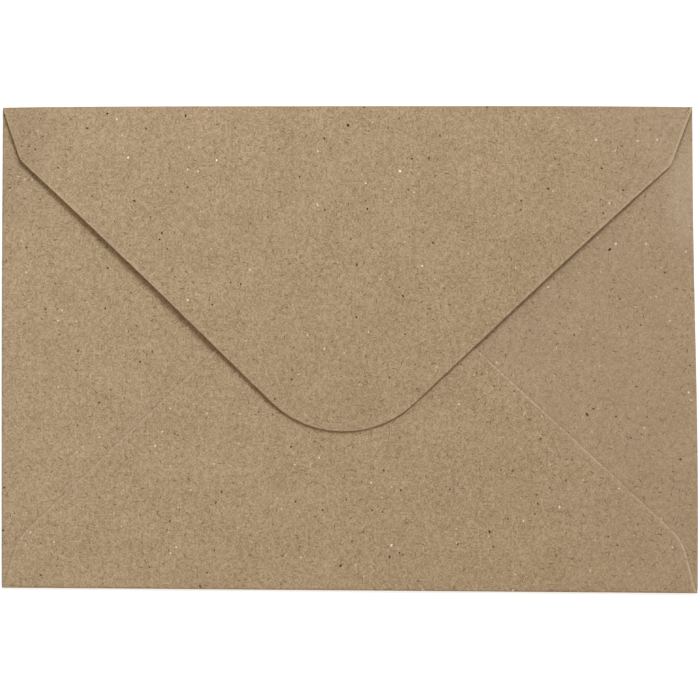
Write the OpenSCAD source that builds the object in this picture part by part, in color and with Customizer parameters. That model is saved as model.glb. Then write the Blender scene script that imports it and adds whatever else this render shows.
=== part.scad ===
// Greeting card envelope with a deep pointed flap and diagonal seams, folded from one sheet.
// It lies on its address side, flap side up, with the flap closed and not stuck down.
// X runs along the top and bottom folds, Y from the bottom fold to the top fold, Z up.
// The origin is under the middle of the envelope, on the surface it lies on.

/* [Envelope] */
// Width across the two side folds
env_w = 165; // [140:1:200]
// Height from the bottom fold to the top fold
env_h = 115; // [100:1:130]
// Thickness of the paper
paper_t = 0.16; // [0.1:0.01:0.3]
// Free height in the pocket, between the front and the side flaps
pocket_gap = 0.4; // [0.2:0.05:1.2]
// Flat paper left at each corner, between the nick and the top or bottom fold
corner_land = 0.6; // [0.2:0.1:3]
// Width of the nick that ends each side fold
corner_nick = 0.15; // [0.05:0.05:1]

/* [Top flap] */
// Depth of the top flap, from the top fold to its rounded tip
flap_depth = 77.3; // [66:0.1:85]
// Radius of the top flap's tip
flap_tip_r = 24.1; // [8:0.1:30]
// How far the top flap's shoulders lie in from the sides
shoulder_in = 4.3; // [2:0.1:10]
// How far the top flap's shoulders lie below the top fold
shoulder_drop = 12.5; // [6:0.1:20]
// Radius that rounds the top flap's shoulders
shoulder_r = 12; // [4:0.5:16]
// Angle by which the top flap was folded out of square
flap_skew = -0.43; // [-1:0.01:1]
// Sideways offset of the top flap from the envelope's middle
flap_shift = -0.3; // [-1:0.1:1]
// Free height under the top flap's tip
tip_gap = 0.25; // [0.1:0.05:2]
// Rise of the top flap's arch above its fold and its tip
flap_rise = 1.2; // [0.3:0.1:4]

/* [Bottom flap] */
// Depth of the bottom flap, from the bottom fold to its rounded tip
bottom_depth = 77.3; // [66:0.1:85]
// Radius of the bottom flap's tip
bottom_tip_r = 24.1; // [8:0.1:30]
// How far the bottom flap's edges start in from the sides
bottom_start_in = 0.4; // [0:0.1:2]
// How far the bottom flap's shoulders lie in from the sides
bottom_shoulder_in = 3.8; // [3:0.1:10]
// How far the bottom flap's shoulders lie above the bottom fold
bottom_shoulder_rise = 12.1; // [6:0.1:20]
// Radius that rounds the bottom flap's shoulders
bottom_shoulder_r = 12; // [4:0.5:16]

/* [Side flaps and seams] */
// How far each side flap reaches in under the bottom flap's long edge
seam_overlap = 8; // [5:0.5:12]
// How far the top flap's long edge covers each side flap
top_cover = 6; // [3:0.5:12]
// Radius of the side flaps' tips
side_tip_r = 12; // [4:0.5:20]
// Width of the gummed band that holds the bottom flap to the side flaps
gum_w = 5; // [2:0.5:8]
// Thickness of the dried gum
gum_t = 0.02; // [0.01:0.01:0.05]

/* [Hidden] */
kraft = [0.667, 0.576, 0.455];

// Steps that draw a rounded corner of a flap, the bend of a fold and the top flap's arch
corner_steps = 16;
bend_steps = 12;
arch_steps = 24;
// How far a cutting shape runs past what it cuts
over = 1;

// Heights of the layers where the flaps are gummed together
side_flap_z = paper_t + pocket_gap;
gum_z = side_flap_z + paper_t;
bottom_flap_z = gum_z + gum_t;
stack_h = bottom_flap_z + paper_t;

// Outer radius of each fold, half as high as the layers it closes over
side_fold_r = gum_z / 2;
bottom_fold_r = stack_h / 2;
top_fold_r = (stack_h + tip_gap + paper_t) / 2;

// Where the flat front ends and the folds begin
front_x = env_w / 2 - side_fold_r;
front_top = env_h / 2 - top_fold_r;
front_bottom = env_h / 2 - bottom_fold_r;

// The arch of the top flap, a shallow arc from its fold to its tip
arch_chord = flap_depth - top_fold_r;
arch_angle = 2 * atan(2 * flap_rise / arch_chord);
arch_r = arch_chord / (2 * sin(arch_angle));

// Slope of a long edge that runs from a shoulder to touch the tip's circle.
// The circle's centre lies run further from the fold than the shoulder does.
function edge_slope(shoulder_x, run, tip_r) = atan2(run, shoulder_x) + asin(tip_r / norm([shoulder_x, run]));

// Half widths at the shoulders, and the slopes of the long edges
top_shoulder_x = env_w / 2 - shoulder_in;
top_run = flap_depth - flap_tip_r - shoulder_drop;
top_slope = edge_slope(top_shoulder_x, top_run, flap_tip_r);
bottom_shoulder_x = env_w / 2 - bottom_shoulder_in;
bottom_run = bottom_depth - bottom_tip_r - bottom_shoulder_rise;
bottom_slope = edge_slope(bottom_shoulder_x, bottom_run, bottom_tip_r);

// Place along Y of a side flap's two edges at a place along X.
// Each runs parallel to the long edge that covers it.
function side_upper_y(x) =
    env_h / 2 - shoulder_drop + (x - top_shoulder_x) * tan(top_slope) + top_cover / cos(top_slope);
function side_lower_y(x) =
    bottom_shoulder_rise - env_h / 2 - (x - bottom_shoulder_x) * tan(bottom_slope)
    - seam_overlap / cos(bottom_slope);
// The two edges would meet here if the side flap's tip weren't round
side_point_x = (side_lower_y(0) - side_upper_y(0)) / (tan(top_slope) + tan(bottom_slope));

// The side folds end at the nicks, or where the side flaps' edges reach them
side_top = min(front_top - corner_land - corner_nick, side_upper_y(front_x));
side_bottom = max(corner_land + corner_nick - front_bottom, side_lower_y(front_x));

function unit(v) = v / norm(v);
function across(u, v) = u.x * v.y - u.y * v.x;
function turned(p, angle) = [p.x * cos(angle) - p.y * sin(angle), p.x * sin(angle) + p.y * cos(angle)];
function reversed(points) = [for (i = [len(points) - 1 : -1 : 0]) points[i]];

// Points along an arc that starts at first and turns about centre by sweep
function arc(centre, first, sweep, steps) =
    [for (i = [0 : steps]) centre + turned(first - centre, sweep * i / steps)];

// Points of the round corner at b, between its neighbours a and c
function round_corner(a, b, c, r) =
    let (
        to_a = unit(a - b),
        to_c = unit(c - b),
        half_angle = acos(to_a * to_c) / 2,
        centre = b + unit(to_a + to_c) * r / sin(half_angle),
        first = b + to_a * r / tan(half_angle),
        sweep = sign(across(first - centre, to_c)) * (180 - 2 * half_angle)
    )
    arc(centre, first, sweep, corner_steps);

// Outline of a pointed flap that hangs down from a fold along X, through the origin
function flap_points(start_x, shoulder_x, drop, slope, round_r, tip_r, skew, shift) =
    let (
        square_corners = [[-shoulder_x, -drop], [0, -drop - shoulder_x * tan(slope)], [shoulder_x, -drop]],
        corners = [for (p = square_corners) turned(p, skew) + [shift, 0]],
        start_left = [-start_x, 0],
        start_right = [start_x, 0]
    )
    concat(
        [[-start_x, over], start_left],
        round_corner(start_left, corners[0], corners[1], round_r),
        round_corner(corners[0], corners[1], corners[2], tip_r),
        round_corner(corners[1], corners[2], start_right, round_r),
        [start_right, [start_x, over]]
    );

module top_flap_outline() {
    translate([0, env_h / 2])
        polygon(flap_points(env_w / 2, top_shoulder_x, shoulder_drop, top_slope,
            shoulder_r, flap_tip_r, flap_skew, flap_shift));
}

module bottom_flap_outline() {
    translate([0, -env_h / 2])
        mirror([0, 1])
            polygon(flap_points(env_w / 2 - bottom_start_in, bottom_shoulder_x, bottom_shoulder_rise,
                bottom_slope, bottom_shoulder_r, bottom_tip_r, 0, 0));
}

// The right side flap, from past its fold to its tip
module side_flap_outline() {
    point = [side_point_x, side_upper_y(side_point_x)];
    upper_end = [env_w, side_upper_y(env_w)];
    lower_end = [env_w, side_lower_y(env_w)];
    polygon(concat([lower_end], round_corner(lower_end, point, upper_end, side_tip_r), [upper_end]));
}

// Section of a fold with the ends of the paper on both sides of it. The origin is the middle of
// the bend, the front lies below it to the left, and the flap comes back above it.
// A face of the paper at a distance r from the middle: half the bend, a flat flap or an arched one
function half_bend_face(r) = concat([[-corner_land, -r]], arc([0, 0], [0, -r], 90, bend_steps));
function flat_face(r, reach) = concat(half_bend_face(r), arc([0, 0], [r, 0], 90, bend_steps), [[-reach, r]]);
function arched_face(r) =
    let (
        leaving = [sin(arch_angle), cos(arch_angle)],
        arch_centre = (top_fold_r - arch_r) * leaving,
        past_tip = asin(over / arch_r)
    )
    concat(
        half_bend_face(r),
        arc([0, 0], [r, 0], 90 - arch_angle, bend_steps),
        arc(arch_centre, r * leaving, 2 * arch_angle + past_tip, arch_steps)
    );

module paper_between(outer_face, inner_face) {
    polygon(concat(outer_face, reversed(inner_face)));
}

// Runs a section along X, with its sideways axis along Y
module along_x(length) {
    rotate([90, 0, 90])
        linear_extrude(height = length, center = true)
            children();
}

// Runs a section along the right side fold
module along_side_fold() {
    translate([0, side_top, 0])
        rotate([90, 0, 0])
            linear_extrude(height = side_top - side_bottom)
                children();
}

module half_bend(fold_r) {
    paper_between(half_bend_face(fold_r), half_bend_face(fold_r - paper_t));
}

module flat_flap(fold_r, reach) {
    paper_between(flat_face(fold_r, reach), flat_face(fold_r - paper_t, reach));
}

module both_sides() {
    children();
    mirror([1, 0, 0])
        children();
}

// Everything of a flap that its outline leaves, from the surface up
module cut_to(highest) {
    linear_extrude(height = highest + over)
        children();
}

module front() {
    translate([-front_x, -front_bottom, 0])
        cube([2 * front_x, front_bottom + front_top, paper_t]);
}

module side_flaps() {
    both_sides() {
        translate([front_x, 0, side_fold_r])
            along_side_fold()
                half_bend(side_fold_r);
        intersection() {
            translate([front_x, 0, side_fold_r])
                along_side_fold()
                    flat_flap(side_fold_r, front_x);
            cut_to(gum_z)
                side_flap_outline();
        }
    }
}

module bottom_flap() {
    translate([0, -front_bottom, bottom_fold_r])
        mirror([0, 1, 0])
            along_x(env_w)
                half_bend(bottom_fold_r);
    intersection() {
        translate([0, -front_bottom, bottom_fold_r])
            mirror([0, 1, 0])
                along_x(env_w)
                    flat_flap(bottom_fold_r, bottom_depth);
        cut_to(stack_h)
            bottom_flap_outline();
    }
}

// The gummed band just inside the bottom flap's edges, bedded into both papers
module seam_gum() {
    bed = paper_t / 2;
    both_sides()
        translate([0, 0, gum_z - bed])
            linear_extrude(height = gum_t + 2 * bed)
                intersection() {
                    difference() {
                        bottom_flap_outline();
                        translate([0, -gum_w / cos(bottom_slope)])
                            bottom_flap_outline();
                    }
                    side_flap_outline();
                    translate([0, side_bottom])
                        square([front_x, side_top - side_bottom]);
                }
}

module top_flap() {
    translate([0, front_top, top_fold_r])
        along_x(env_w)
            half_bend(top_fold_r);
    intersection() {
        translate([0, front_top, top_fold_r])
            along_x(env_w)
                paper_between(arched_face(top_fold_r), arched_face(top_fold_r - paper_t));
        cut_to(2 * top_fold_r + flap_rise)
            top_flap_outline();
    }
}

module envelope_sheet() {
    color(kraft) {
        front();
        side_flaps();
        bottom_flap();
        seam_gum();
        top_flap();
    }
}

envelope_sheet();
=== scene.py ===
"""Greeting card envelope of flecked kraft paper, folded from one sheet.

It lies flap side up on a pale table and is seen from straight above, as the photograph shows it.
The sheet is laid out flat as a blank, folded by a node tree, and given the paper's thickness.
"""

import math

import bmesh
import bpy
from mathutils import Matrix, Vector


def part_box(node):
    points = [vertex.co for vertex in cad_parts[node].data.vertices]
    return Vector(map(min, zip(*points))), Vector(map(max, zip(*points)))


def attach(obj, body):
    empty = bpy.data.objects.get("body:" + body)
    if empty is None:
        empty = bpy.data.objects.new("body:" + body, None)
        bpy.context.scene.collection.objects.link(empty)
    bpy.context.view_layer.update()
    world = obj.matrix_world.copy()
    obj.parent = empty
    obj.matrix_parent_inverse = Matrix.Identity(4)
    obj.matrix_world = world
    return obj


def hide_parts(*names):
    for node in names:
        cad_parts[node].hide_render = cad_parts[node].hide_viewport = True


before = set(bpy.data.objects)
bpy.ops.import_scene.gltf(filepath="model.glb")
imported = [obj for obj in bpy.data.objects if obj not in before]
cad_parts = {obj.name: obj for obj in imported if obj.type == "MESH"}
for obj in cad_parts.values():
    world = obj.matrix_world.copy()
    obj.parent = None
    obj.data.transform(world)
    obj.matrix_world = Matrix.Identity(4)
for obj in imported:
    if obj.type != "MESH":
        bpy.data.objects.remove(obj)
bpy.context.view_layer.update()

MM = 0.001
SHEET_NODE = "envelope_sheet"
SHEET_LOW, SHEET_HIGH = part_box(SHEET_NODE)

# Sizes of the envelope and its paper, in metres
ENV_W = SHEET_HIGH[0] - SHEET_LOW[0]
ENV_H = SHEET_HIGH[1] - SHEET_LOW[1]
PAPER = 0.16 * MM
POCKET_GAP = 0.4 * MM
GUM = 0.02 * MM
# How far the top flap's tip stands off the bottom flap
TIP_GAP = 0.25 * MM
# Flat paper that the corners keep beside the top and bottom folds, and the gap to the side flaps
CORNER_LAND = 0.2 * MM
CORNER_NICK = 0.05 * MM
# How far the bottom corners lie to the right of square, over the envelope's height
OUT_OF_SQUARE = 1.0 * MM
# How far the side folds and the top fold bow outwards, and how far the right one sways besides
SIDE_BOW = 0.17 * MM
TOP_BOW = 0.3 * MM
RIGHT_SWAY = 0.2 * MM
# Powers that shape the bows: the side folds' are round, and the top fold's is flatter
SIDE_BOW_POWER = 2.0
TOP_BOW_POWER = 4.0
# Waves in the flaps: their height and length, and how far from the folds they have set in
WAVINESS = 0.06 * MM
WAVE_LENGTH = 38 * MM
WAVE_FADE = 10 * MM

# The top flap
FLAP_DEPTH = 77.4 * MM
FLAP_TIP_R = 24.4 * MM
SHOULDER_IN = 5.0 * MM
SHOULDER_DROP = 13.5 * MM
SHOULDER_R = 3.5 * MM
FLAP_SKEW = math.radians(-0.43)
FLAP_SHIFT = -0.28 * MM
FLAP_LEAN = -0.25 * MM
# How far the flap's long edges are hollow, half way down
EDGE_HOLLOW = 0.34 * MM
FLAP_RISE = 0.9 * MM
# How much higher its right edge stands than its middle, and the power that makes it do so most a
# little below half way down
FLAP_TWIST = 0.42 * MM
TWIST_POWER = 1.5
# How much its lower part is lifted, and where down the flap the lift sets in, as shares
FLAP_LOWER_LIFT = 0.2 * MM
LIFT_SETS_IN = (0.4, 0.85)
# How far its right shoulder is pressed down, where the press sets in on the way to the side fold,
# and where it sets in and fades down the flap, all as shares
SHOULDER_PRESS = 0.4 * MM
PRESS_AT_RIGHT = (0.72, 0.95)
PRESS_SETS_IN = (0.0, 0.12)
PRESS_FADES = (0.20, 0.50)

# The bottom flap
BOTTOM_DEPTH = 77.3 * MM
BOTTOM_TIP_R = 24.1 * MM
BOTTOM_START_IN = 0.4 * MM
# Over this depth its edges flare out to the ends of the fold
BOTTOM_FLARE = 0.9 * MM
BOTTOM_SHOULDER_IN = 3.8 * MM
BOTTOM_SHOULDER_RISE = 12.1 * MM
BOTTOM_SHOULDER_R = 12 * MM
BOTTOM_SKEW = math.radians(-0.33)
BOTTOM_SHIFT = 0.13 * MM
# How far it springs up off the side flaps, and how far from its fold it has done so
SEAM_SPRING = 0.1 * MM
SPRING_FADE = 6 * MM

# The side flaps: how far they reach under the other two, and the radius of their tips
SEAM_OVERLAP = 8 * MM
TOP_COVER = 6 * MM
SIDE_TIP_R = 12 * MM

# Heights of the layers, and the folds' outer radii that follow from them
GUM_Z = 2 * PAPER + POCKET_GAP
STACK_H = GUM_Z + GUM + PAPER
SIDE_FOLD_R = GUM_Z / 2
BOTTOM_FOLD_R = STACK_H / 2
TOP_FOLD_R = (STACK_H + TIP_GAP + PAPER) / 2
# The top fold is creased sharper than a round bend, so it reaches less far out
TOP_CREASE = 0.4
TOP_FOLD_REACH = PAPER / 2 + TOP_CREASE * (TOP_FOLD_R - PAPER / 2)
# How far from the middle the front's paper starts to bend
FRONT_X = ENV_W / 2 - SIDE_FOLD_R
FRONT_TOP = ENV_H / 2 - TOP_FOLD_REACH
FRONT_BOTTOM = ENV_H / 2 - BOTTOM_FOLD_R
# The top flap's arch: its chord, its slope where it starts, and its radius
ARCH_CHORD = FLAP_DEPTH - TOP_FOLD_REACH
ARCH_ANGLE = 2 * math.atan(2 * FLAP_RISE / ARCH_CHORD)
ARCH_R = ARCH_CHORD / (2 * math.sin(ARCH_ANGLE))

# Spacing of the blank's rows and columns, and the least between two rows
GRID = 2.0 * MM
LEAST_ROW = 0.02 * MM
# Rows round a fold, steps round a corner and along a hollow edge, and columns of a side flap
BEND_ROWS = 10
CORNER_STEPS = 12
HOLLOW_STEPS = 12
SIDE_COLUMNS = round(ENV_W / 3 / GRID)
# Points this near each other are made one
WELD = 0.001 * MM
# Edges at which two faces turn more than this stay sharp
SHARP_TURN = math.radians(50)

# Which part of the blank a point belongs to, and how near the number has to be
FRONT, TOP_FLAP, BOTTOM_FLAP, SIDE_FLAP = 0, 1, 2, 3
SAME_PART = 0.1
# Distance to the cut edge that is given to points well away from one
FAR = 10 * MM
# Names by which the sheet's mesh carries these two and the blank's map, and the map's width
PART_NAME = "panel"
EDGE_NAME = "edge_distance"
MAP_NAME = "blank"
MAP_SPAN = 300 * MM


# Shapes of the flaps, drawn flat


def edge_slope(shoulder_x, run, tip_r):
    """Slope of a long edge from a shoulder to the tip's circle, run further from the fold."""
    return math.atan2(run, shoulder_x) + math.asin(tip_r / math.hypot(shoulder_x, run))


def rounded_corner(before, corner, after, radius):
    """Points along the arc that rounds a corner between its two neighbours."""
    to_before = (before - corner).normalized()
    to_after = (after - corner).normalized()
    half_angle = math.acos(to_before.dot(to_after)) / 2
    centre = corner + (to_before + to_after).normalized() * radius / math.sin(half_angle)
    first = corner + to_before * radius / math.tan(half_angle) - centre
    side = math.copysign(1, to_before.y * to_after.x - to_before.x * to_after.y)
    sweep = side * (math.pi - 2 * half_angle)
    points = []
    for step in range(CORNER_STEPS + 1):
        turn = sweep * step / CORNER_STEPS
        points.append(centre + Vector((
            first.x * math.cos(turn) - first.y * math.sin(turn),
            first.x * math.sin(turn) + first.y * math.cos(turn),
        )))
    return points


def hollow_line(start, end, inward, hollow):
    """Points between the ends of a long edge that is a little hollow."""
    normal = Vector((-inward * (end - start).y, inward * (end - start).x)).normalized()
    points = []
    for step in range(1, HOLLOW_STEPS):
        share = step / HOLLOW_STEPS
        points.append(start.lerp(end, share) + normal * 4 * share * (1 - share) * hollow)
    return points


def flap_outline(start_x, shoulder_x, drop, depth, round_r, tip_r, skew, shift, lean, hollow):
    """Left and right edge of a pointed flap, as (x, depth below the fold), from fold to tip."""
    slope = edge_slope(shoulder_x, depth - tip_r - drop, tip_r)
    lowest = (lean, -drop - shoulder_x * math.tan(slope))
    left, point, right = [
        Vector((
            x * math.cos(skew) - y * math.sin(skew) + shift,
            x * math.sin(skew) + y * math.cos(skew),
        ))
        for x, y in ((-shoulder_x, -drop), lowest, (shoulder_x, -drop))
    ]
    left_start = Vector((-start_x, 0.0))
    right_start = Vector((start_x, 0.0))
    tip = rounded_corner(left, point, right, tip_r)
    middle = min(range(len(tip)), key=lambda index: tip[index].y)
    left_round = rounded_corner(left_start, left, point, round_r)
    right_round = rounded_corner(right_start, right, point, round_r)
    left_long = hollow_line(left_round[-1], tip[0], 1, hollow)
    right_long = hollow_line(right_round[-1], tip[-1], -1, hollow)
    left_edge = [left_start] + left_round + left_long + tip[:middle + 1]
    right_edge = [right_start] + right_round + right_long + tip[:middle - 1:-1]
    return [[(p.x, -p.y) for p in edge] for edge in (left_edge, right_edge)]


def edge_x(edge, depth):
    """Where a flap's edge lies at a depth below the fold."""
    for (x0, d0), (x1, d1) in zip(edge, edge[1:]):
        if depth <= d1:
            return x0 + (x1 - x0) * (depth - d0) / (d1 - d0) if d1 > d0 else x1
    return edge[-1][0]


def flared(edge, depth):
    """The edge with its first part led out to the end of the fold."""
    kept = (edge_x(edge, depth), depth)
    start = (math.copysign(ENV_W / 2, kept[0]), 0.0)
    return [start, kept] + [place for place in edge if place[1] > depth]


def edge_distance(edges, x, depth):
    """Distance of a point on a flap from the nearest cut edge."""
    place = Vector((x, depth))
    nearest = FAR
    for edge in edges:
        for start, end in zip(edge, edge[1:]):
            start = Vector(start)
            along = Vector(end) - start
            if along.length > 0:
                share = min(1.0, max(0.0, (place - start).dot(along) / along.length_squared))
                nearest = min(nearest, (place - start - along * share).length)
    return nearest


def spread(start, end, spacing):
    """Evenly spaced values from start to end, about a spacing apart."""
    count = max(1, round((end - start) / spacing))
    return [start + (end - start) * step / count for step in range(count + 1)]


def flap_depths(edges, fold_r):
    """Depths of a flap's rows past its bend: every corner of its edges, and even rows between."""
    # Corners at the same depth on both edges share a row
    corners = sorted({round(depth, 7) for edge in edges for _, depth in edge if depth > fold_r})
    depths = []
    for start, end in zip([fold_r] + corners, corners):
        if end - start > LEAST_ROW:
            depths += spread(start, end, GRID)[1:]
    return depths


def side_edge_lines():
    """Upper and lower edge of the side flaps, each parallel to the edge that covers it."""
    top_x = ENV_W / 2 - SHOULDER_IN
    top_slope = edge_slope(top_x, FLAP_DEPTH - FLAP_TIP_R - SHOULDER_DROP, FLAP_TIP_R)
    bottom_x = ENV_W / 2 - BOTTOM_SHOULDER_IN
    bottom_run = BOTTOM_DEPTH - BOTTOM_TIP_R - BOTTOM_SHOULDER_RISE
    bottom_slope = edge_slope(bottom_x, bottom_run, BOTTOM_TIP_R)

    def upper(x):
        cover = TOP_COVER / math.cos(top_slope)
        return ENV_H / 2 - SHOULDER_DROP + (x - top_x) * math.tan(top_slope) + cover

    def lower(x):
        overlap = SEAM_OVERLAP / math.cos(bottom_slope)
        return BOTTOM_SHOULDER_RISE - ENV_H / 2 - (x - bottom_x) * math.tan(bottom_slope) - overlap

    point_x = (lower(0.0) - upper(0.0)) / (math.tan(top_slope) + math.tan(bottom_slope))
    return upper, lower, point_x


def side_flap_edge():
    """Edge of the right side flap as (x, y), from below the bottom corner round the tip."""
    upper, lower, point_x = side_edge_lines()
    point = Vector((point_x, upper(point_x)))
    below = Vector((ENV_W, lower(ENV_W)))
    above = Vector((ENV_W, upper(ENV_W)))
    return [below] + rounded_corner(below, point, above, SIDE_TIP_R) + [above]


def side_edge_x(edge, y):
    """How far from the middle a side flap's edge lies, along a row of the front."""
    for a, b in zip(edge, edge[1:]):
        if a.y <= y <= b.y:
            return a.x + (b.x - a.x) * (y - a.y) / (b.y - a.y)
    return FRONT_X


# The blank, one flat mesh of quads


class Blank:
    """The flat sheet as it is cut, point by point, with the part that each point belongs to."""

    def __init__(self):
        self.mesh = bmesh.new()
        self.part = self.mesh.verts.layers.float.new(PART_NAME)
        self.edge = self.mesh.verts.layers.float.new(EDGE_NAME)

    def point(self, x, y, part, edge=FAR):
        vert = self.mesh.verts.new((x, y, 0.0))
        vert[self.part] = part
        vert[self.edge] = edge
        return vert

    def strip(self, row, next_row):
        """Faces between two rows of points, wound so that they face up."""
        for corners in zip(row, row[1:], next_row[1:], next_row):
            face = self.mesh.faces.new(corners)
            face.normal_update()
            if face.normal.z < 0:
                face.normal_flip()

    def object(self, name):
        bmesh.ops.remove_doubles(self.mesh, verts=self.mesh.verts, dist=WELD)
        bmesh.ops.dissolve_degenerate(self.mesh, edges=self.mesh.edges, dist=WELD)
        layout = self.mesh.loops.layers.uv.new(MAP_NAME)
        for face in self.mesh.faces:
            face.smooth = True
            for loop in face.loops:
                place = loop.vert.co / MAP_SPAN
                loop[layout].uv = (place.x + 0.5, place.y + 0.5)
        data = bpy.data.meshes.new(name)
        self.mesh.to_mesh(data)
        self.mesh.free()
        return placed(name, data)


def placed(name, data):
    """A new object in the scene, at the origin."""
    thing = bpy.data.objects.new(name, data)
    bpy.context.collection.objects.link(thing)
    return thing


def front_rows(blank, columns, rows):
    """The front, with full-width lands beside the top and bottom folds."""
    grid = [[blank.point(x, y, FRONT) for x in columns] for y in rows]
    for row, next_row in zip(grid, grid[1:]):
        blank.strip(row, next_row)
    return grid


def corner_lands(blank, grid, rows, side):
    """The flat corners past the side folds, and the ends of the top and bottom folds' base."""
    ends = {}
    inner = 0 if side < 0 else -1
    for fold, start, step in (("bottom", 0, 1), ("top", len(rows) - 1, -1)):
        outer = [blank.point(side * ENV_W / 2, rows[start + step * k], FRONT) for k in (0, 1)]
        inner_points = [grid[start + step * k][inner] for k in (0, 1)]
        blank.strip([inner_points[0], outer[0]], [inner_points[1], outer[1]])
        ends[fold] = outer[0]
    return ends


def rows_round_fold(bend):
    """How far along the paper each row round a fold lies. Bend is the paper's length round it."""
    return [bend * k / BEND_ROWS for k in range(1, BEND_ROWS + 1)]


def pointed_flap(blank, base, columns, fold_y, away, bend, reach, edges, part):
    """A flap from its fold to its tip. Each row keeps the columns' spread between the two edges.

    Bend is the paper's length round the fold, and reach is how far out the fold goes.
    """
    shares = [(x + ENV_W / 2) / ENV_W for x in columns]
    # The edges start where the fold turns back, half way round it
    fold_depths = [max(0.0, 2 * k / BEND_ROWS - 1) * reach for k in range(1, BEND_ROWS + 1)]
    steps = list(zip(rows_round_fold(bend), fold_depths))
    steps += [(bend + depth - reach, depth) for depth in flap_depths(edges, reach)]
    previous = base
    for distance, depth in steps:
        if depth > 0:
            left, right = edge_x(edges[0], depth), edge_x(edges[1], depth)
        else:
            left, right = -ENV_W / 2, ENV_W / 2
        y = fold_y + away * distance
        row = []
        for share in shares:
            x = left + (right - left) * share
            row.append(blank.point(x, y, part, edge_distance(edges, x, depth)))
        blank.strip(previous, row)
        previous = row


def side_flap(blank, base, side):
    """A side flap, from the fold to its edge, along each row of the front that it shares."""
    edge = side_flap_edge()
    bend = (SIDE_FOLD_R - PAPER / 2) * math.pi
    rows = []
    for vert in base:
        y = vert.co.y
        reach = bend + FRONT_X - side_edge_x(edge, y)
        distances = rows_round_fold(bend)
        distances += [bend + (reach - bend) * k / SIDE_COLUMNS for k in range(1, SIDE_COLUMNS + 1)]
        rows.append([vert] + [
            blank.point(side * (FRONT_X + d), y, SIDE_FLAP, min(FAR, reach - d)) for d in distances
        ])
    for row, next_row in zip(rows, rows[1:]):
        blank.strip(row, next_row)


def top_flap_edges():
    """Both edges of the top flap, with their slight hollow and lean."""
    return flap_outline(
        start_x=ENV_W / 2, shoulder_x=ENV_W / 2 - SHOULDER_IN, drop=SHOULDER_DROP,
        depth=FLAP_DEPTH, round_r=SHOULDER_R, tip_r=FLAP_TIP_R,
        skew=FLAP_SKEW, shift=FLAP_SHIFT, lean=FLAP_LEAN, hollow=EDGE_HOLLOW,
    )


def bottom_flap_edges():
    """Both edges of the bottom flap, flared at the ends of its fold."""
    edges = flap_outline(
        start_x=ENV_W / 2 - BOTTOM_START_IN, shoulder_x=ENV_W / 2 - BOTTOM_SHOULDER_IN,
        drop=BOTTOM_SHOULDER_RISE, depth=BOTTOM_DEPTH, round_r=BOTTOM_SHOULDER_R,
        tip_r=BOTTOM_TIP_R, skew=BOTTOM_SKEW, shift=BOTTOM_SHIFT, lean=0.0, hollow=0.0,
    )
    return [flared(edge, BOTTOM_FLARE) for edge in edges]


def cut_blank():
    """The whole sheet as it is cut, lying flat, address side down."""
    blank = Blank()
    inner_columns = spread(-FRONT_X, FRONT_X, GRID)
    land_bottom = -FRONT_BOTTOM + CORNER_LAND
    land_top = FRONT_TOP - CORNER_LAND
    shared = spread(land_bottom + CORNER_NICK, land_top - CORNER_NICK, GRID)
    rows = [-FRONT_BOTTOM, land_bottom] + shared + [land_top, FRONT_TOP]
    grid = front_rows(blank, inner_columns, rows)
    left_ends = corner_lands(blank, grid, rows, -1)
    right_ends = corner_lands(blank, grid, rows, 1)
    columns = [-ENV_W / 2] + inner_columns + [ENV_W / 2]

    top_base = [left_ends["top"]] + grid[-1] + [right_ends["top"]]
    top_bend = (TOP_FOLD_R - PAPER / 2) * (math.pi - ARCH_ANGLE)
    pointed_flap(
        blank, top_base, columns, FRONT_TOP, 1,
        top_bend, TOP_FOLD_REACH, top_flap_edges(), TOP_FLAP,
    )
    bottom_base = [left_ends["bottom"]] + grid[0] + [right_ends["bottom"]]
    bottom_bend = (BOTTOM_FOLD_R - PAPER / 2) * math.pi
    pointed_flap(
        blank, bottom_base, columns, -FRONT_BOTTOM, -1,
        bottom_bend, BOTTOM_FOLD_R, bottom_flap_edges(), BOTTOM_FLAP,
    )
    # The side flaps have no part in the lands' rows
    for side, column in ((-1, 0), (1, -1)):
        side_flap(blank, [row[column] for row in grid[2:-2]], side)
    return blank.object("envelope_paper")


# Small helpers for node trees


def feed(tree, socket, value):
    """Gives a socket a plain value, or another node's result."""
    if isinstance(value, (int, float, tuple)):
        socket.default_value = value
    else:
        tree.links.new(value, socket)


def calculate(tree, operation, *values):
    """A Math node's result, from numbers or from other nodes' results."""
    node = tree.nodes.new("ShaderNodeMath")
    node.operation = operation
    for socket, value in zip(node.inputs, values):
        feed(tree, socket, value)
    return node.outputs[0]


def plus(tree, first, *others):
    for value in others:
        first = calculate(tree, "ADD", first, value)
    return first


def minus(tree, first, second):
    return calculate(tree, "SUBTRACT", first, second)


def times(tree, first, *others):
    for value in others:
        first = calculate(tree, "MULTIPLY", first, value)
    return first


def over(tree, first, second):
    return calculate(tree, "DIVIDE", first, second)


def rest(tree, share):
    """What a share leaves of the whole."""
    return minus(tree, 1.0, share)


def limited(tree, value, low=0.0, high=1.0):
    return calculate(tree, "MINIMUM", calculate(tree, "MAXIMUM", value, low), high)


def smooth_step(tree, value, low, high):
    """0 below low, 1 above high, and a smooth rise between."""
    node = tree.nodes.new("ShaderNodeMapRange")
    node.interpolation_type = "SMOOTHSTEP"
    for label, given in (("Value", value), ("From Min", low), ("From Max", high)):
        feed(tree, node.inputs[label], given)
    return node.outputs["Result"]


def split_place(tree, place):
    """The x and y of a place."""
    node = tree.nodes.new("ShaderNodeSeparateXYZ")
    tree.links.new(place, node.inputs[0])
    return node.outputs[0], node.outputs[1]


def joined_place(tree, *values):
    """The place with these as its x, y and height."""
    node = tree.nodes.new("ShaderNodeCombineXYZ")
    for socket, value in zip(node.inputs, values):
        tree.links.new(value, socket)
    return node.outputs[0]


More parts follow.
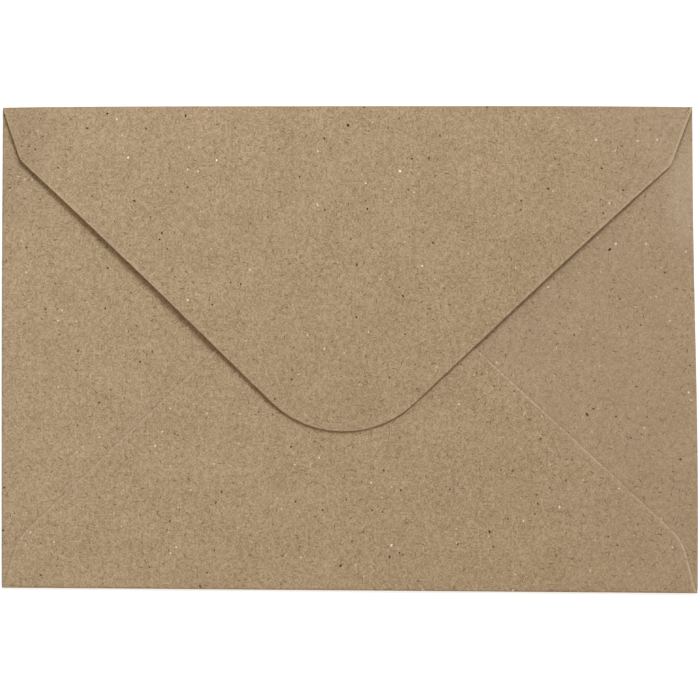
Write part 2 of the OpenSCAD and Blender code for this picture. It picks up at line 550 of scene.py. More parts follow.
def noise(tree, place, scale, detail):
    """A random pattern's node, whose first output runs from 0 to 1."""
    node = tree.nodes.new("ShaderNodeTexNoise")
    node.inputs["Scale"].default_value = scale
    node.inputs["Detail"].default_value = detail
    tree.links.new(place, node.inputs["Vector"])
    return node


def on_each_flap(tree, part):
    """For each kind of flap, 1 on it and 0 on the rest of the sheet."""
    kinds = (TOP_FLAP, BOTTOM_FLAP, SIDE_FLAP)
    return {kind: calculate(tree, "COMPARE", part, kind, SAME_PART) for kind in kinds}


def number_sockets(labels):
    return [(label, "NodeSocketFloat") for label in labels]


def new_group(name, kind, inputs, outputs):
    """A node group with named sockets, and its input and output nodes."""
    group = bpy.data.node_groups.new(name, kind)
    for in_out, sockets in (("INPUT", inputs), ("OUTPUT", outputs)):
        for label, socket_type in sockets:
            group.interface.new_socket(name=label, in_out=in_out, socket_type=socket_type)
    given = group.nodes.new("NodeGroupInput").outputs
    result = group.nodes.new("NodeGroupOutput").inputs
    return group, given, result


# Folding


BEND_INPUTS = ("Distance", "Bend Radius", "Bend Angle", "Crease", "Curvature")
# Angle, crease and curvature of a plain round fold that lays the paper flat back
PLAIN_FOLD = (math.pi, 1.0, 0.0)

FOLDING_SIZES = {
    "Front Half Width": FRONT_X,
    "Front Top": FRONT_TOP,
    "Front Bottom": FRONT_BOTTOM,
    "Paper Thickness": PAPER,
    "Side Fold Radius": SIDE_FOLD_R,
    "Bottom Fold Radius": BOTTOM_FOLD_R,
    "Top Fold Radius": TOP_FOLD_R,
    "Top Fold Angle": math.pi - ARCH_ANGLE,
    "Top Crease": TOP_CREASE,
    "Arch Curvature": 1 / ARCH_R,
    "Seam Spring": SEAM_SPRING,
    "Flap Depth": FLAP_DEPTH,
    "Flap Twist": FLAP_TWIST,
    "Flap Lower Lift": FLAP_LOWER_LIFT,
    "Shoulder Press": SHOULDER_PRESS,
    "Waviness": WAVINESS,
    "Wave Length": WAVE_LENGTH,
    "Out Of Square": OUT_OF_SQUARE / ENV_H,
    "Side Bow": SIDE_BOW,
    "Top Bow": TOP_BOW,
    "Right Sway": RIGHT_SWAY,
}


def bend_group():
    """Where paper goes that passes round a bend and then runs on along a shallow arch.

    Distance is measured along the paper from where the bend starts. Out is how far the paper has
    gone past that line, which is negative once it has come back over it, and Up is its rise.
    A Crease under 1 makes the bend reach less far out, as in a sharply creased fold.
    """
    group, given, result = new_group(
        "Paper round a bend", "GeometryNodeTree",
        number_sockets(BEND_INPUTS), number_sockets(("Out", "Up")),
    )
    radius = given["Bend Radius"]
    bend_length = times(group, radius, given["Bend Angle"])
    in_bend = limited(group, given["Distance"], high=bend_length)
    angle = over(group, in_bend, radius)
    past_bend = calculate(group, "MAXIMUM", minus(group, given["Distance"], bend_length), 0.0)
    # The arch is a chord of its arc: half the turn more than the bend, and shorter by a sixth of
    # the half turn squared
    half_turn = times(group, past_bend, given["Curvature"], 0.5)
    heading = plus(group, angle, half_turn)
    shortening = over(group, times(group, half_turn, half_turn), 6.0)
    chord = times(group, past_bend, rest(group, shortening))

    bend_out = times(group, radius, calculate(group, "SINE", angle), given["Crease"])
    bend_up = times(group, radius, rest(group, calculate(group, "COSINE", angle)))
    chord_out = times(group, chord, calculate(group, "COSINE", heading))
    chord_up = times(group, chord, calculate(group, "SINE", heading))
    group.links.new(plus(group, bend_out, chord_out), result["Out"])
    group.links.new(plus(group, bend_up, chord_up), result["Up"])
    return group


def folded_flap(tree, bend, on_flap, flat, fold, *bend_values):
    """How far from the middle a flap's paper lies once it is folded, and how high.

    Flat is how far it lies before, and fold is where the fold starts. The bend values are for the
    bend group's other inputs.
    """
    past_fold = times(tree, minus(tree, flat, fold), on_flap)
    node = tree.nodes.new("GeometryNodeGroup")
    node.node_tree = bend
    for label, value in zip(BEND_INPUTS, (past_fold, *bend_values)):
        feed(tree, node.inputs[label], value)
    return plus(tree, fold, node.outputs["Out"]), node.outputs["Up"]


def moved(tree, value, target, flag):
    """The value, or the target where the flag is set."""
    return plus(tree, value, times(tree, minus(tree, target, value), flag))


def folded_place(tree, given, x, y, on):
    """Where each point of the blank lies once all flaps are folded, as x, y and height."""
    bend = bend_group()
    half_paper = times(tree, given["Paper Thickness"], 0.5)
    side_r, bottom_r, top_r = [
        minus(tree, given[label], half_paper)
        for label in ("Side Fold Radius", "Bottom Fold Radius", "Top Fold Radius")
    ]
    side_x, side_up = folded_flap(
        tree, bend, on[SIDE_FLAP], calculate(tree, "ABSOLUTE", x), given["Front Half Width"],
        side_r, *PLAIN_FOLD,
    )
    bottom_y, bottom_up = folded_flap(
        tree, bend, on[BOTTOM_FLAP], times(tree, y, -1.0), given["Front Bottom"],
        bottom_r, *PLAIN_FOLD,
    )
    top_y, top_up = folded_flap(
        tree, bend, on[TOP_FLAP], y, given["Front Top"],
        top_r, given["Top Fold Angle"], given["Top Crease"], given["Arch Curvature"],
    )
    new_x = moved(tree, x, times(tree, calculate(tree, "SIGN", x), side_x), on[SIDE_FLAP])
    new_y = moved(tree, y, top_y, on[TOP_FLAP])
    new_y = moved(tree, new_y, times(tree, bottom_y, -1.0), on[BOTTOM_FLAP])
    return new_x, new_y, plus(tree, half_paper, side_up, top_up, bottom_up)


def top_flap_form(tree, given, x, y, on_top):
    """What the top flap's twist, its lifted lower part and its pressed shoulder add in height."""
    past_fold = times(tree, minus(tree, y, given["Front Top"]), on_top)
    down_flap = over(tree, past_fold, given["Flap Depth"])
    across = over(tree, x, given["Front Half Width"])
    late = calculate(tree, "POWER", limited(tree, down_flap), TWIST_POWER)
    hump = calculate(tree, "SINE", times(tree, late, math.pi))
    twist = times(tree, hump, across, given["Flap Twist"])

    lifted = smooth_step(tree, down_flap, *LIFT_SETS_IN)
    lower_lift = times(tree, lifted, given["Flap Lower Lift"])

    at_right = smooth_step(tree, across, *PRESS_AT_RIGHT)
    off_crease = smooth_step(tree, down_flap, *PRESS_SETS_IN)
    past_shoulder = smooth_step(tree, down_flap, *PRESS_FADES)
    at_shoulder = times(tree, off_crease, rest(tree, past_shoulder))
    press = times(tree, at_right, at_shoulder, given["Shoulder Press"], -1.0)
    return twist, lower_lift, press


def waves_and_spring(tree, given, x, y, part, on_bottom):
    """What the flaps' shared waves and the bottom flap's spring off its seams add in height."""
    in_waves = [over(tree, value, given["Wave Length"]) for value in (x, y)]
    waves = noise(tree, joined_place(tree, *in_waves), 1.0, 1.0)
    # The waves die out towards the folds, and the front has none
    from_side = minus(tree, given["Front Half Width"], calculate(tree, "ABSOLUTE", x))
    from_top = minus(tree, given["Front Top"], y)
    from_bottom = plus(tree, y, given["Front Bottom"])
    from_fold = calculate(tree, "MINIMUM", from_top, from_bottom)
    from_fold = calculate(tree, "MINIMUM", from_side, from_fold)
    fade = limited(tree, over(tree, from_fold, WAVE_FADE))
    on_flaps = calculate(tree, "MINIMUM", part, 1.0)
    wave = times(tree, waves.outputs[0], given["Waviness"], fade, on_flaps)

    off_fold = limited(tree, over(tree, from_bottom, SPRING_FADE))
    return wave, times(tree, off_fold, on_bottom, given["Seam Spring"])


def arched(tree, share, power):
    """1 in the middle, where the share is 0, and 0 at both ends, where it is 1 or -1."""
    fallen = calculate(tree, "POWER", calculate(tree, "ABSOLUTE", share), power)
    return calculate(tree, "MAXIMUM", rest(tree, fallen), 0.0)


def out_of_true(tree, given, x, y):
    """The place once the folds bow, the right one sways, and the top has slipped to the left."""
    up_side = over(tree, y, given["Front Bottom"])
    sideways = over(tree, x, given["Front Half Width"])
    outwards = times(tree, arched(tree, up_side, SIDE_BOW_POWER), sideways, given["Side Bow"])
    sway = calculate(tree, "SINE", times(tree, up_side, -math.pi))
    on_right = times(tree, limited(tree, sideways), given["Right Sway"])
    bow = times(tree, arched(tree, sideways, TOP_BOW_POWER), given["Top Bow"])
    upwards = times(tree, limited(tree, up_side), bow)
    slip = times(tree, y, given["Out Of Square"])
    new_x = plus(tree, x, outwards, times(tree, sway, on_right))
    return minus(tree, new_x, slip), plus(tree, y, upwards)


def give_place_and_paper(tree, given, result, place):
    """Sets the points in their new place, and the sheet's material."""
    fold_points = tree.nodes.new("GeometryNodeSetPosition")
    tree.links.new(given["Geometry"], fold_points.inputs["Geometry"])
    tree.links.new(place, fold_points.inputs["Position"])
    realize = tree.nodes.new("GeometryNodeRealizeInstances")
    tree.links.new(fold_points.outputs[0], realize.inputs[0])
    paper = tree.nodes.new("GeometryNodeSetMaterial")
    tree.links.new(realize.outputs[0], paper.inputs["Geometry"])
    tree.links.new(given["Paper"], paper.inputs["Material"])
    tree.links.new(paper.outputs[0], result["Geometry"])


def folding_tree():
    """Folds the flat blank: side flaps in, bottom flap up over them, top flap down over all."""
    geometry = [("Geometry", "NodeSocketGeometry")]
    tree, given, result = new_group(
        "Folding of the envelope", "GeometryNodeTree",
        geometry + number_sockets(FOLDING_SIZES) + [("Paper", "NodeSocketMaterial")], geometry,
    )
    x, y = split_place(tree, tree.nodes.new("GeometryNodeInputPosition").outputs[0])
    part_node = tree.nodes.new("GeometryNodeInputNamedAttribute")
    part_node.data_type = "FLOAT"
    part_node.inputs["Name"].default_value = PART_NAME
    part = part_node.outputs["Attribute"]
    on = on_each_flap(tree, part)
    new_x, new_y, height = folded_place(tree, given, x, y, on)
    height = plus(
        tree, height, *top_flap_form(tree, given, x, y, on[TOP_FLAP]),
        *waves_and_spring(tree, given, new_x, new_y, part, on[BOTTOM_FLAP]),
    )
    new_x, new_y = out_of_true(tree, given, new_x, new_y)
    give_place_and_paper(tree, given, result, joined_place(tree, new_x, new_y, height))
    return tree


def set_tree_inputs(modifier, values):
    for item in modifier.node_group.interface.items_tree:
        if item.in_out == "INPUT" and item.name in values:
            modifier[item.identifier] = values[item.name]


def fold_sheet(paper, cut_edge):
    """The finished sheet: the blank folded, with the paper's thickness and its paler cut edge."""
    blank = cut_blank()
    blank.data.materials.append(paper)
    blank.data.materials.append(cut_edge)
    folding = blank.modifiers.new("Folding", "NODES")
    folding.node_group = folding_tree()
    set_tree_inputs(folding, {**FOLDING_SIZES, "Paper": paper})
    thickness = blank.modifiers.new("Paper thickness", "SOLIDIFY")
    thickness.thickness = PAPER
    thickness.offset = 0.0
    thickness.use_even_offset = True
    thickness.material_offset_rim = 1
    evaluated = blank.evaluated_get(bpy.context.evaluated_depsgraph_get())
    mesh = bpy.data.meshes.new_from_object(evaluated)
    mesh.set_sharp_from_angle(angle=SHARP_TURN)
    sheet = placed("folded_sheet", mesh)
    bpy.data.objects.remove(blank)
    return sheet


# Materials, with places on the blank in millimetres from its map's lower left corner


def srgb(red, green, blue):
    """Colour as a monitor shows it, 0 to 255, as the linear values that shaders take."""
    linear = []
    for value in (red, green, blue):
        share = value / 255
        linear.append(share / 12.92 if share <= 0.04045 else ((share + 0.055) / 1.055) ** 2.4)
    return (*linear, 1.0)


WHITE = (1.0, 1.0, 1.0, 1.0)
DARK_PULP = srgb(148, 124.4, 92)
PALE_PULP = srgb(195, 170.2, 136.7)
# Pinkish pulp, also the tint of the painted light on the right
PINK_PULP_AND_LIGHT_TINT = srgb(176, 150, 126)
# Tints of the painted light and painted shade by the shoulders and along the top fold
PAINTED_LIGHT_TINT = srgb(222, 206, 182)
PAINTED_SHADE_TINT = srgb(120, 100, 76)
# Pale torn fibres at the cut edges, partly a painted highlight
TORN_FIBRES_AND_HIGHLIGHT = srgb(222, 202, 172)
# Colour of the painted shade in the angle of the seams
SEAM_SHADE_COLOUR = srgb(60, 46, 32)
DARK_CUT = srgb(176, 154, 124)
PALE_CUT = srgb(222, 203, 174)

# Patterns in the pulp: size of their lumps, detail, and shift on the blank
CLOUDS = (9.0, 2.0, 31.0)
MOTTLE = (1.3, 1.0, 57.0)
GRAIN = (0.45, 3.0, 83.0)
PINK_AREAS = (4.0, 1.0, 11.0)
PULP_ROUGHNESS = 0.6
# Shares of the tone that the first three give, and which tones are fully dark and fully pale
CLOUDS_SHARE = 0.12
MOTTLE_SHARE = 0.22
GRAIN_SHARE = 0.66
TONE_SPAN = (0.295, 0.705)
# Where a pink area starts and is full, how pink it is, and how far the right part is tinted
# pinker besides: a painted tint of the light on that side
PINK_SPAN = (0.3, 0.7)
PINK_AREAS_SHARE = 0.14
RIGHT_TINT_SPAN = (185.0, 235.0)
RIGHT_TINT_SHARE = 0.26

# Kinds of fibre and fleck: cell, half length, half width, curl, share of the cells, how strongly
# each covers the paper, at least and at most, and its colour
FIBRES = [
    ("felt", 0.80, 0.46, 0.11, 1.0, 0.80, 0.0, 0.40, srgb(122, 98, 70)),
    ("pale felt", 0.85, 0.38, 0.12, 1.0, 0.75, 0.0, 0.38, srgb(213, 188, 155)),
    ("dark fibre", 1.45, 0.66, 0.12, 0.8, 0.62, 0.12, 0.75, srgb(92, 70, 46)),
    ("dark fleck", 2.5, 0.36, 0.24, 0.0, 0.17, 0.20, 0.95, srgb(58, 38, 22)),
    ("pale fleck", 2.6, 0.32, 0.22, 0.0, 0.13, 0.15, 0.80, srgb(244, 228, 196)),
    ("black speck", 8.0, 0.44, 0.28, 0.0, 0.08, 0.75, 1.00, srgb(36, 22, 12)),
    ("white speck", 9.0, 0.36, 0.26, 0.0, 0.07, 0.60, 1.00, srgb(255, 247, 228)),
    ("russet fleck", 6.0, 0.40, 0.24, 0.0, 0.05, 0.45, 0.85, srgb(136, 80, 54)),
]
FIBRE_SIZES = ("Cell", "Half Length", "Half Width", "Curl", "Share")
# How far apart the patterns of two kinds are shifted
KINDS_APART = (17.3, 41.9)
# Size of the smallest fibre of a kind, as a share of the largest
SMALLEST_FIBRE = 0.5
# Where a fibre starts to fade and ends, as shares of its half length or half width
FIBRE_RIM = (0.75, 1.2)
# The fraction of a random number times this is another one
STIR = 13.7
# A power over 1 makes faint fibres commoner than strong ones
FAINTER = 1.6

# Painted light by the right shoulder, painted shade by the left: flap, centre and radii on the
# blank, and strength
PAINTED_LIGHT_PATCHES = [
    (SIDE_FLAP, (233.5, 187.0), (7.5, 16.0), 0.17),
    (TOP_FLAP, (229.0, 214.0), (12.0, 14.0), 0.05),
]
PAINTED_SHADE_PATCHES = [
    (SIDE_FLAP, (66.5, 192.0), (14.0, 18.0), 0.15),
    (TOP_FLAP, (71.0, 214.0), (14.0, 14.0), 0.15),
]
# Up to where the top fold gets painted shade, from full to not at all, and how much
FOLD_SPAN = (208.4, 211.0)
FOLD_SHADE_STRENGTH = 0.15

# Rows by the bottom corners and down the top flap's long edges, columns past the left shoulder
# and at the right one, and rows by that shoulder
CORNER_SPAN = (72.0, 86.0)
LONG_EDGE_SPAN = (225.0, 282.0)
LEFT_SPAN = (70.0, 78.0)
RIGHT_SPAN = (222.0, 230.0)
SHOULDER_SPAN = (186.0, 198.0)
# Width of the paler rim along a cut edge, from full to not at all
RIM_SPAN = (0.20, 0.75)
# How strongly the rim shows on all edges, and what each part of them adds. The rim is partly
# pale torn fibres and partly painted highlight, strongest on edges that face the light
EDGE_RIM = 0.06
PAST_LEFT_RIM = 0.15
RIGHT_RIM_HIGHLIGHT = 0.10
CORNER_RIM = 0.20
BOTTOM_RIM = 0.05
# How far the painted shade reaches out of a seam's angle, in metres, how strong it is, and what
# both gain by the right shoulder
SHADE_REACH = 0.6 * MM
SHADE_STRENGTH = 0.5
SHOULDER_SHADE_REACH = 0.8 * MM
SHOULDER_SHADE_STRENGTH = 0.9
# Width and depth of a cut edge's rounding, what is added from the bottom corners up and taken off
# on the top flap, and the height of the grain
ROUNDED_WIDTH = 0.6
ROUNDING = 0.12
CORNER_ROUNDING = 0.12
TOP_ROUNDING_LESS = 0.21
GRAIN_HEIGHT = 0.010
# Size of the grain in the cut edge, in metres
CUT_GRAIN = 0.4 * MM


def new_material(name):
    material = bpy.data.materials.new(name)
    material.use_nodes = True
    tree = material.node_tree
    return material, tree, tree.nodes["Principled BSDF"]


def dull_surface(shader, roughness, specular):
    shader.inputs["Roughness"].default_value = roughness
    shader.inputs["Specular IOR Level"].default_value = specular


def vector_math(tree, operation, *values):
    node = tree.nodes.new("ShaderNodeVectorMath")
    node.operation = operation
    for socket, value in zip(node.inputs, values):
        feed(tree, socket, value)
    return node.outputs[0]


def mix_colour(tree, share, first, second):
    """The first colour, with a share of it turned into the second."""
    node = tree.nodes.new("ShaderNodeMix")
    node.data_type = "RGBA"
    for label, value in (("Factor", share), ("A", first), ("B", second)):
        feed(tree, node.inputs[label], value)
    return node.outputs["Result"]


def carried(tree, name):
    """A number that the sheet's mesh carries."""
    node = tree.nodes.new("ShaderNodeAttribute")
    node.attribute_name = name
    return node.outputs["Fac"]


class OnSheet:
    """What the paper's looks go by: the place on the blank, the cut edge, and the flap."""

    def __init__(self, tree):
        layout = tree.nodes.new("ShaderNodeUVMap")
        layout.uv_map = MAP_NAME
        scale = MAP_SPAN / MM
        self.place = vector_math(tree, "MULTIPLY", layout.outputs[0], (scale, scale, 0.0))
        self.x, self.y = split_place(tree, self.place)
        self.from_edge = over(tree, carried(tree, EDGE_NAME), MM)
        self.on = on_each_flap(tree, carried(tree, PART_NAME))
        # 0 along the bottom flap's long edges, and 1 from the bottom corners up
        self.from_corner_up = smooth_step(tree, self.y, *CORNER_SPAN)
        self.at_right = smooth_step(tree, self.x, *RIGHT_SPAN)


def fibre_group():
    """Short fibres scattered over the sheet, one in a share of the cells, each at its own angle.

    Mask is 1 on a fibre, and Chance is its random number.
    """
    group, given, result = new_group(
        "Scattered fibres", "ShaderNodeTree",
        [("Place", "NodeSocketVector")] + number_sockets(FIBRE_SIZES),
        number_sockets(("Mask", "Chance")),
    )
    cells = group.nodes.new("ShaderNodeTexVoronoi")
    cells.voronoi_dimensions = "2D"
    cells.feature = "F1"
    cells.inputs["Randomness"].default_value = 1.0
    group.links.new(given["Place"], cells.inputs["Vector"])
    group.links.new(over(group, 1.0, given["Cell"]), cells.inputs["Scale"])
    offset = vector_math(group, "SUBTRACT", given["Place"], cells.outputs["Position"])
    dx, dy = split_place(group, offset)
    chances = group.nodes.new("ShaderNodeSeparateColor")
    group.links.new(cells.outputs["Color"], chances.inputs[0])
    turn_chance, size_chance, share_chance = chances.outputs
    angle = times(group, turn_chance, 2 * math.pi)
    cosine = calculate(group, "COSINE", angle)
    sine = calculate(group, "SINE", angle)
    along = plus(group, times(group, dx, cosine), times(group, dy, sine))
    across = minus(group, times(group, dy, cosine), times(group, dx, sine))
    # Small fibres curl to one side and large ones to the other
    curl = times(group, given["Curl"], minus(group, size_chance, 0.5))
    across = plus(group, across, times(group, curl, times(group, along, along)))
    size = plus(group, SMALLEST_FIBRE, times(group, size_chance, 1 - SMALLEST_FIBRE))
    squares = []
    for distance, label in ((across, "Half Width"), (along, "Half Length")):
        reach = times(group, given[label], size)
        share = over(group, calculate(group, "ABSOLUTE", distance), reach)
        squares.append(calculate(group, "POWER", share, 2.0))
    distance = calculate(group, "POWER", plus(group, *squares), 0.5)
    body = rest(group, smooth_step(group, distance, *FIBRE_RIM))
    present = calculate(group, "LESS_THAN", share_chance, given["Share"])
    group.links.new(times(group, body, present), result["Mask"])
    stirred = calculate(group, "FRACT", times(group, size_chance, STIR))
    group.links.new(stirred, result["Chance"])
    return group


def pulp_pattern(tree, sheet, size, detail, shift):
    """A pattern from 0 to 1 over the sheet, with lumps of about a size."""
    shifted = vector_math(tree, "ADD", sheet.place, (shift, -shift, 0.0))
    lumps = noise(tree, shifted, 1 / size, detail)
    lumps.noise_dimensions = "2D"
    lumps.inputs["Roughness"].default_value = PULP_ROUGHNESS
    return lumps.outputs[0]


def cloudy_ground(tree, sheet, grain):
    """The pulp, from dark to pale brown, a little pinker in places; a painted light tint pinks the
    right.
    """
    clouds = times(tree, pulp_pattern(tree, sheet, *CLOUDS), CLOUDS_SHARE)
    mottle = times(tree, pulp_pattern(tree, sheet, *MOTTLE), MOTTLE_SHARE)
    tone = plus(tree, clouds, mottle, times(tree, grain, GRAIN_SHARE))
    colour = mix_colour(tree, smooth_step(tree, tone, *TONE_SPAN), DARK_PULP, PALE_PULP)
    areas = smooth_step(tree, pulp_pattern(tree, sheet, *PINK_AREAS), *PINK_SPAN)
    areas = times(tree, areas, PINK_AREAS_SHARE)
    # Painted light: a pinker tint towards the right, as of light of another colour on that side
    at_right = smooth_step(tree, sheet.x, *RIGHT_TINT_SPAN)
    pink = plus(tree, areas, times(tree, at_right, RIGHT_TINT_SHARE))
    return mix_colour(tree, pink, colour, PINK_PULP_AND_LIGHT_TINT)


def matted_fibres(tree, sheet, colour):
    """Every kind of fibre and fleck, laid over the ground one after the other."""
    fibres = fibre_group()
    for index, (name, *sizes, least, most, tint) in enumerate(FIBRES):
        node = tree.nodes.new("ShaderNodeGroup")
        node.node_tree = fibres
        node.label = name
        shift = (KINDS_APART[0] * index, KINDS_APART[1] * index, 0.0)
        tree.links.new(vector_math(tree, "ADD", sheet.place, shift), node.inputs["Place"])
        for label, value in zip(FIBRE_SIZES, sizes):
            node.inputs[label].default_value = value
        chance = calculate(tree, "POWER", node.outputs["Chance"], FAINTER)
        strength = plus(tree, least, times(tree, chance, most - least))
        colour = mix_colour(tree, times(tree, node.outputs["Mask"], strength), colour, tint)
    return colour


def soft_spot(tree, sheet, centre, radii):
    """1 at a point of the blank, and fading to 0 at an ellipse round it."""
    squares = []
    for place, middle, radius in zip((sheet.x, sheet.y), centre, radii):
        share = over(tree, minus(tree, place, middle), radius)
        squares.append(times(tree, share, share))
    return rest(tree, smooth_step(tree, plus(tree, *squares), 0.0, 1.0))


def patches(tree, sheet, spots):
    """How strongly soft patches show, each on its own flap alone."""
    shown = [
        times(tree, soft_spot(tree, sheet, centre, radii), sheet.on[flap], strength)
        for flap, centre, radii, strength in spots
    ]
    return plus(tree, *shown)


def painted_light_and_shade(tree, sheet, colour):
    """Painted light pales the paper by the right shoulder, painted shade darkens it by the left one.

    Painted shade makes the top fold a little darker too.
    """
    # Painted light: a paler patch by the right shoulder
    colour = mix_colour(tree, patches(tree, sheet, PAINTED_LIGHT_PATCHES), colour, PAINTED_LIGHT_TINT)
    # Painted shade: a darker top fold, and a darker patch by the left shoulder
    by_top_fold = rest(tree, smooth_step(tree, sheet.y, *FOLD_SPAN))
    shaded_fold = times(tree, by_top_fold, sheet.on[TOP_FLAP], FOLD_SHADE_STRENGTH)
    shaded = plus(tree, patches(tree, sheet, PAINTED_SHADE_PATCHES), shaded_fold)
    return mix_colour(tree, shaded, colour, PAINTED_SHADE_TINT)


def torn_rim_and_highlight(tree, sheet, colour):
    """Paler cut edges, partly torn fibres and partly painted highlight, most high on the top flap
    and at the bottom corners.
    """
    high = rest(tree, smooth_step(tree, sheet.y, *LONG_EDGE_SPAN))
    # Painted highlight: a brighter rim on the right, facing the light, and a fainter one at the left
    # shoulder
    past_left = times(tree, smooth_step(tree, sheet.x, *LEFT_SPAN), PAST_LEFT_RIM)
    across = plus(tree, past_left, times(tree, sheet.at_right, RIGHT_RIM_HIGHLIGHT))
    top_rim = times(tree, sheet.on[TOP_FLAP], high, across)
    corner_rim = times(tree, sheet.on[BOTTOM_FLAP], sheet.from_corner_up, CORNER_RIM)
    bottom_rim = times(tree, sheet.on[BOTTOM_FLAP], BOTTOM_RIM)
    rim_strength = plus(tree, top_rim, corner_rim, bottom_rim, EDGE_RIM)
    rim = rest(tree, smooth_step(tree, sheet.from_edge, *RIM_SPAN))
    return mix_colour(tree, times(tree, rim, rim_strength), colour, TORN_FIBRES_AND_HIGHLIGHT)


def seam_painted_shade(tree, sheet, colour):
    """Painted shade: ambient occlusion darkens the side flaps in the angle beside the flap on them.
    """
    contact = tree.nodes.new("ShaderNodeAmbientOcclusion")
    contact.samples = 8
    contact.only_local = True
    by_shoulder = times(tree, sheet.at_right, smooth_step(tree, sheet.y, *SHOULDER_SPAN))
    reach = plus(tree, SHADE_REACH, times(tree, by_shoulder, SHOULDER_SHADE_REACH))
    tree.links.new(reach, contact.inputs["Distance"])
    strength = plus(tree, SHADE_STRENGTH, times(tree, by_shoulder, SHOULDER_SHADE_STRENGTH))
    hidden = rest(tree, contact.outputs["AO"])
    # Painted shade: darker where the occlusion finds paper close above
    seam_shade = times(tree, hidden, sheet.on[SIDE_FLAP], strength)
    return mix_colour(tree, seam_shade, colour, SEAM_SHADE_COLOUR)


def paper_relief(tree, sheet, grain):
    """Fine grain, and cut edges that are rounded over: least of all on the top flap."""
    rounding = plus(tree, ROUNDING, times(tree, sheet.from_corner_up, CORNER_ROUNDING))
    rounding = minus(tree, rounding, times(tree, sheet.on[TOP_FLAP], TOP_ROUNDING_LESS))
    inward = limited(tree, over(tree, sheet.from_edge, ROUNDED_WIDTH))
    outward = rest(tree, inward)
    pressed = times(tree, outward, outward, times(tree, rounding, -1.0))
    bump = tree.nodes.new("ShaderNodeBump")
    bump.inputs["Strength"].default_value = 1.0
    bump.inputs["Distance"].default_value = MM
    height = plus(tree, pressed, times(tree, grain, GRAIN_HEIGHT))
    tree.links.new(height, bump.inputs["Height"])
    return bump.outputs[0]


def kraft_paper():
    """Flecked recycled kraft paper: a cloudy brown ground, matted fibres, dark and pale flecks."""
    material, tree, shader = new_material("kraft_paper")
    sheet = OnSheet(tree)
    grain = pulp_pattern(tree, sheet, *GRAIN)
    colour = cloudy_ground(tree, sheet, grain)
    # Only the fibres are the paper's own colour; the other three layers paint light and shade into
    # it
    for layer in (matted_fibres, painted_light_and_shade, torn_rim_and_highlight, seam_painted_shade):
        colour = layer(tree, sheet, colour)
    tree.links.new(colour, shader.inputs["Base Color"])
    tree.links.new(paper_relief(tree, sheet, grain), shader.inputs["Normal"])
    dull_surface(shader, roughness=0.9, specular=0.06)
    return material


def cut_paper_edge():
    """The cut edge of the paper, paler than its faces, with a fine torn grain."""
    material, tree, shader = new_material("kraft_cut_edge")
    place = tree.nodes.new("ShaderNodeTexCoord").outputs["Object"]
    grain = noise(tree, place, 1 / CUT_GRAIN, 2.0)
    colour = mix_colour(tree, grain.outputs[0], DARK_CUT, PALE_CUT)
    tree.links.new(colour, shader.inputs["Base Color"])
    dull_surface(shader, roughness=0.95, specular=0.2)
    return material


# Table, lights and camera


# The table: its grey, the glow that makes it white to the eye, and half its width in metres
TABLE_GREY = (0.8, 0.8, 0.8, 1.0)
TABLE_GLOW = 0.56
TABLE_HALF = 1.5
# How far it lies below the envelope, and for how short rays it is clear
TABLE_BELOW = 0.01 * MM
TOUCHING = 0.2 * MM
# Colour and strength of the even light from all round
ROOM_COLOUR = (1.0, 0.885, 0.739, 1.0)
ROOM_STRENGTH = 0.473
# The camera's place, and its turn in degrees
CAMERA_PLACE = (10.12 * MM, -10.55 * MM, 347.35 * MM)
CAMERA_TURN = (1.661, 1.528, 0.256)


def seen_directly(tree):
    """1 for rays from the camera, and for those that a mirror or clear glass would pass on."""
    path = tree.nodes.new("ShaderNodeLightPath")
    direct = calculate(tree, "MAXIMUM", path.outputs["Is Camera Ray"], path.outputs["Is Glossy Ray"])
    return calculate(tree, "MAXIMUM", direct, path.outputs["Is Transmission Ray"])


def show_either(tree, share, first, second, output):
    """Shows the first shader, and by a share the second."""
    either = tree.nodes.new("ShaderNodeMixShader")
    for socket, value in zip(either.inputs, (share, first, second)):
        tree.links.new(value, socket)
    tree.links.new(either.outputs[0], tree.nodes[output].inputs["Surface"])


def white_table_top():
    """A pale surface that keeps the shadow, with a little light of its own to the eye."""
    material, tree, shader = new_material("pale_table")
    shader.inputs["Base Color"].default_value = TABLE_GREY
    dull_surface(shader, roughness=1.0, specular=0.0)
    shader.inputs["Emission Color"].default_value = WHITE
    glow = times(tree, seen_directly(tree), TABLE_GLOW)
    tree.links.new(glow, shader.inputs["Emission Strength"])
    # It is clear from below, and clear to what touches it, so that the address side can be seen
    clear = tree.nodes.new("ShaderNodeBsdfTransparent")
    facing = tree.nodes.new("ShaderNodeNewGeometry")
    path = tree.nodes.new("ShaderNodeLightPath")
    touching = calculate(tree, "LESS_THAN", path.outputs["Ray Length"], TOUCHING)
    through = calculate(tree, "MAXIMUM", facing.outputs["Backfacing"], touching)
    show_either(tree, through, shader.outputs[0], clear.outputs[0], "Material Output")
    return material


def pale_table():
    """The table that the envelope lies on."""
    signs = ((-1, -1), (1, -1), (1, 1), (-1, 1))
    corners = [(x * TABLE_HALF, y * TABLE_HALF, -TABLE_BELOW) for x, y in signs]
    data = bpy.data.meshes.new("table")
    data.from_pydata(corners, [], [(0, 1, 2, 3)])
    data.materials.append(white_table_top())
    table = placed("table", data)


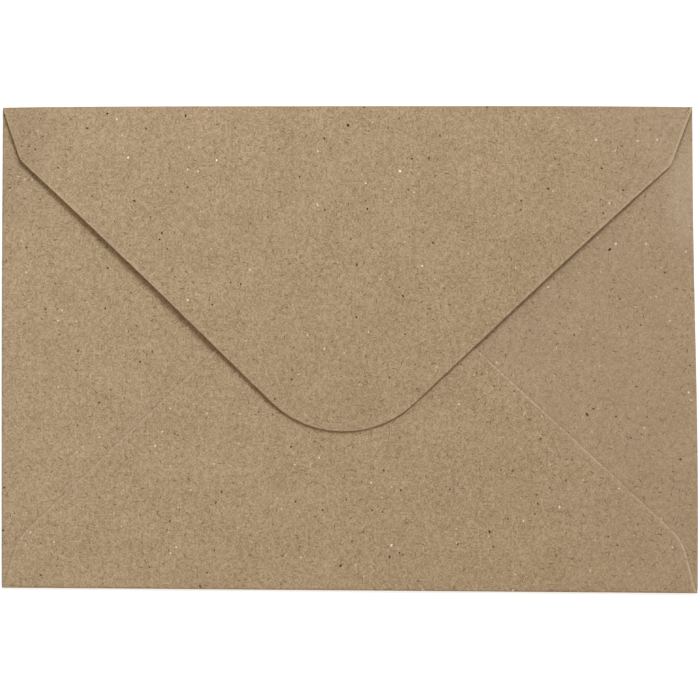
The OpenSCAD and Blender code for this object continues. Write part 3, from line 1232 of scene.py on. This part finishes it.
def room_light():
    """Even light from all round, and white wherever the camera sees past the table."""
    world = bpy.data.worlds.new("room")
    world.use_nodes = True
    bpy.context.scene.world = world
    tree = world.node_tree
    light = tree.nodes["Background"]
    light.inputs["Color"].default_value = ROOM_COLOUR
    light.inputs["Strength"].default_value = ROOM_STRENGTH
    seen = tree.nodes.new("ShaderNodeBackground")
    seen.inputs["Color"].default_value = WHITE
    show_either(tree, seen_directly(tree), light.outputs[0], seen.outputs[0], "World Output")


def softbox(name, azimuth, elevation, distance, size, power, colour, aim, spread):
    """Square softbox, with a grid if its spread is under 180 degrees, aimed at a point on the table.

    Azimuth is measured from +X towards +Y.
    """
    data = bpy.data.lights.new(name, "AREA")
    data.size = size
    data.energy = power
    data.spread = math.radians(spread)
    data.color = colour
    turn = math.radians(azimuth)
    lift = math.radians(elevation)
    box = placed(name, data)
    box.location = distance * Vector((
        math.cos(lift) * math.cos(turn), math.cos(lift) * math.sin(turn), math.sin(lift),
    ))
    towards = Vector((*aim, 0.0)) - box.location
    box.rotation_euler = towards.to_track_quat("-Z", "Y").to_euler()


def overhead_camera():
    """Camera almost straight above, turned as the envelope's corners in the photograph say."""
    data = bpy.data.cameras.new("camera")
    data.lens = 75
    data.sensor_width = 36
    data.clip_start = 0.01
    camera = placed("camera", data)
    camera.location = CAMERA_PLACE
    camera.rotation_euler = [math.radians(angle) for angle in CAMERA_TURN]
    bpy.context.scene.camera = camera


paper_sheet = fold_sheet(kraft_paper(), cut_paper_edge())
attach(paper_sheet, "root")
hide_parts(SHEET_NODE)

pale_table()
room_light()
# The grid's edge is what lets the light fade from the top left to the bottom right
softbox(
    "window", azimuth=72.0, elevation=37.4, distance=2.0, size=0.9, power=4.20,
    colour=(0.745, 0.85, 1.0), aim=(-0.355, 0.205), spread=40,
)
softbox(
    "fill", azimuth=20.0, elevation=45.0, distance=2.0, size=1.0, power=5.6,
    colour=(0.90, 0.90, 0.92), aim=(0.0, 0.0), spread=180,
)
overhead_camera()
bpy.context.scene.view_settings.view_transform = "Standard"
